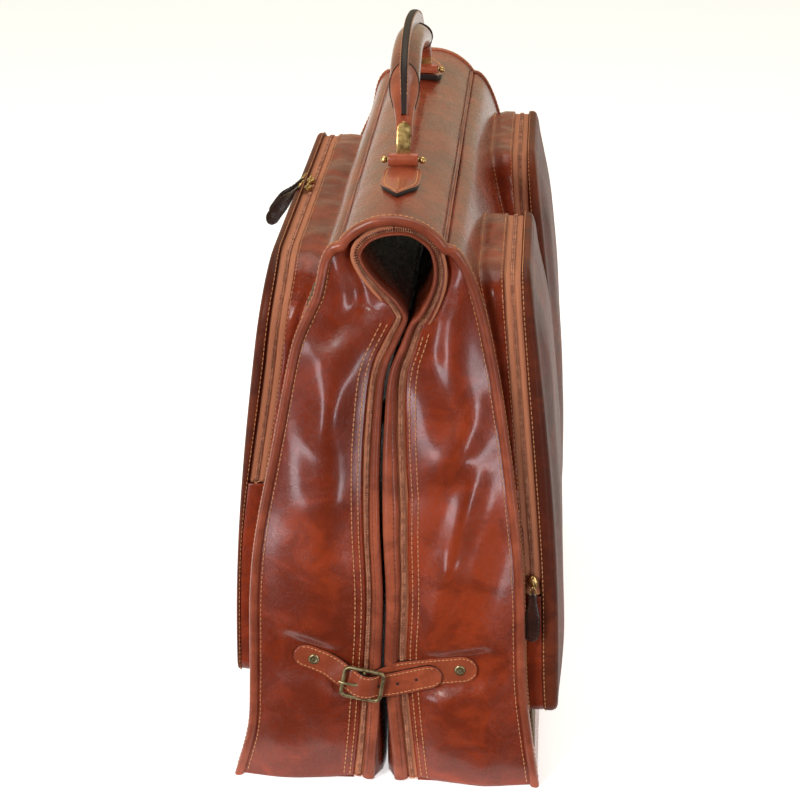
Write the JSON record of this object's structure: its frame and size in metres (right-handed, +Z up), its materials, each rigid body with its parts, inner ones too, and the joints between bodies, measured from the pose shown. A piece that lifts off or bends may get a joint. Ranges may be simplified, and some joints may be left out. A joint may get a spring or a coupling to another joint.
{
  "type": "garment bag",
  "caption": "Folded leather garment bag standing on its base, with a spine handle, zipped pockets, end gussets and buckled straps that hold the halves shut.",
  "frame": {"origin": "middle of the footprint, on the surface that the folded bag stands on", "axes": "+Z up through the spine and handle; Y along the fold and the handle, near end at -Y; X through the thickness, front pocket at -X"},
  "size_m": [0.304, 0.6124, 0.655],
  "materials": {
    "shell_leather": "glossy chestnut veg-tanned hide",
    "edge_leather": "glossy turned edge",
    "lid_leather": "glossy chestnut hide, darker",
    "strap_leather": "semi-gloss strap leather with painted edges",
    "grip_leather": "glossy stitched hide with dark painted edges",
    "pull_leather": "dark chocolate hide with black edges",
    "zip_tape": "woven brown zip tape with copper coil teeth",
    "board": "fibre board, matte",
    "webbing": "woven webbing",
    "brass": "polished brass",
    "old_brass": "antique brass, satin"
  },
  "bodies": {
    "spine": {"spine_panel": "shell_leather", "spine_board": "board", "spine_pipings": "edge_leather", "arch_bindings": "edge_leather", "fold_gussets": "shell_leather", "fold_lid_panel": "lid_leather", "fold_zips": "zip_tape", "handle_tabs": "strap_leather"},
    "handle": {"handle_grip": "grip_leather", "handle_keel": "grip_leather", "handle_end_wraps": "grip_leather", "handle_links": "brass", "handle_screws": "brass", "handle_bars": "brass", "bar_sleeves": "grip_leather"},
    "front_half": {"front_panel": "shell_leather", "front_board": "board", "front_bindings": "edge_leather", "front_near_gusset": "shell_leather", "front_far_gusset": "shell_leather", "front_bottom_gusset": "shell_leather", "front_lid_panel": "lid_leather", "front_zip": "zip_tape", "front_pocket_face": "shell_leather", "front_pocket_gusset": "shell_leather", "front_pocket_zip": "zip_tape", "billets": "strap_leather", "billet_rivets": "old_brass", "hanger_bar": "brass"},
    "back_half": {"back_panel": "shell_leather", "back_board": "board", "back_bindings": "edge_leather", "back_near_gusset": "shell_leather", "back_far_gusset": "shell_leather", "back_bottom_gusset": "shell_leather", "back_lid_panel": "lid_leather", "back_zip": "zip_tape", "back_pocket_faces": "shell_leather", "back_pocket_gussets": "shell_leather", "back_pocket_zips": "zip_tape", "garment_straps": "webbing", "chapes": "strap_leather", "chape_rivets": "old_brass", "buckle_frames": "old_brass"},
    "near_front_slider": {"near_front_slider": "brass"},
    "far_front_slider": {"far_front_slider": "brass"},
    "near_front_pull": {"near_front_pull": "pull_leather"},
    "far_front_pull": {"far_front_pull": "pull_leather"},
    "front_main_slider": {"front_main_slider": "brass"},
    "front_main_pull": {"front_main_pull": "pull_leather"},
    "near_prong": {"near_prong": "old_brass"},
    "far_prong": {"far_prong": "old_brass"},
    "near_back_slider": {"near_back_slider": "brass"},
    "far_back_slider": {"far_back_slider": "brass"},
    "near_back_pull": {"near_back_pull": "pull_leather"},
    "far_back_pull": {"far_back_pull": "pull_leather"},
    "back_main_slider": {"back_main_slider": "brass"},
    "back_main_pull": {"back_main_pull": "pull_leather"}
  },
  "joints": [
    {"name": "front_unfold", "type": "hinge", "parent": "spine", "child": "front_half", "pos_m": [-0.0455, 0, 0.531], "axis": [0, 1, 0], "range_deg": [0, 85], "deforming": ["billets"]},
    {"name": "back_unfold", "type": "hinge", "parent": "spine", "child": "back_half", "pos_m": [0.0455, 0, 0.531], "axis": [0, -1, 0], "range_deg": [0, 85]},
    {"name": "handle_rock", "type": "hinge", "parent": "spine", "child": "handle", "pos_m": [0, 0, 0.5654], "axis": [0, 1, 0], "range_deg": [-8, 8]},
    {"name": "near_front_zip", "type": "slide", "parent": "front_half", "child": "near_front_slider", "axis": [0, -1, 0], "range_m": [0, 0.15]},
    {"name": "near_front_pull_swing", "type": "hinge", "parent": "near_front_slider", "child": "near_front_pull", "pos_m": [-0.108, -0.012, 0.4964], "axis": [0, 1, 0], "range_deg": [0, 100]},
    {"name": "near_back_zip", "type": "slide", "parent": "back_half", "child": "near_back_slider", "axis": [-0.0918, 0, 0.9958], "range_m": [0, 0.2]},
    {"name": "near_back_pull_swing", "type": "hinge", "parent": "near_back_slider", "child": "near_back_pull", "pos_m": [0.1256, -0.2843, 0.209], "axis": [-1, 0, 0], "range_deg": [-5, 100]},
    {"name": "near_prong_swing", "type": "hinge", "parent": "back_half", "child": "near_prong", "pos_m": [-0.027, -0.3, 0.112], "axis": [0.1736, 0, 0.9848], "range_deg": [0, 110]},
    {"name": "far_front_zip", "type": "slide", "parent": "front_half", "child": "far_front_slider", "axis": [0, 1, 0], "range_m": [0, 0.15]},
    {"name": "far_front_pull_swing", "type": "hinge", "parent": "far_front_slider", "child": "far_front_pull", "pos_m": [-0.108, 0.012, 0.4964], "axis": [0, 1, 0], "range_deg": [0, 100]},
    {"name": "far_back_zip", "type": "slide", "parent": "back_half", "child": "far_back_slider", "axis": [-0.0918, 0, 0.9958], "range_m": [0, 0.2]},
    {"name": "far_back_pull_swing", "type": "hinge", "parent": "far_back_slider", "child": "far_back_pull", "pos_m": [0.1256, 0.2843, 0.209], "axis": [1, 0, 0], "range_deg": [-5, 100]},
    {"name": "far_prong_swing", "type": "hinge", "parent": "back_half", "child": "far_prong", "pos_m": [-0.027, 0.3, 0.112], "axis": [-0.1736, 0, -0.9848], "range_deg": [0, 110]},
    {"name": "front_main_zip", "type": "slide", "parent": "front_half", "child": "front_main_slider", "axis": [0, 0, 1], "range_m": [0, 0.24]},
    {"name": "front_main_pull_swing", "type": "hinge", "parent": "front_main_slider", "child": "front_main_pull", "pos_m": [-0.0195, 0.2968, 0.189], "axis": [1, 0, 0], "range_deg": [-5, 100]},
    {"name": "back_main_zip", "type": "slide", "parent": "back_half", "child": "back_main_slider", "axis": [0, 0, 1], "range_m": [0, 0.24]},
    {"name": "back_main_pull_swing", "type": "hinge", "parent": "back_main_slider", "child": "back_main_pull", "pos_m": [0.0195, 0.2968, 0.189], "axis": [1, 0, 0], "range_deg": [-5, 100]}
  ]
}
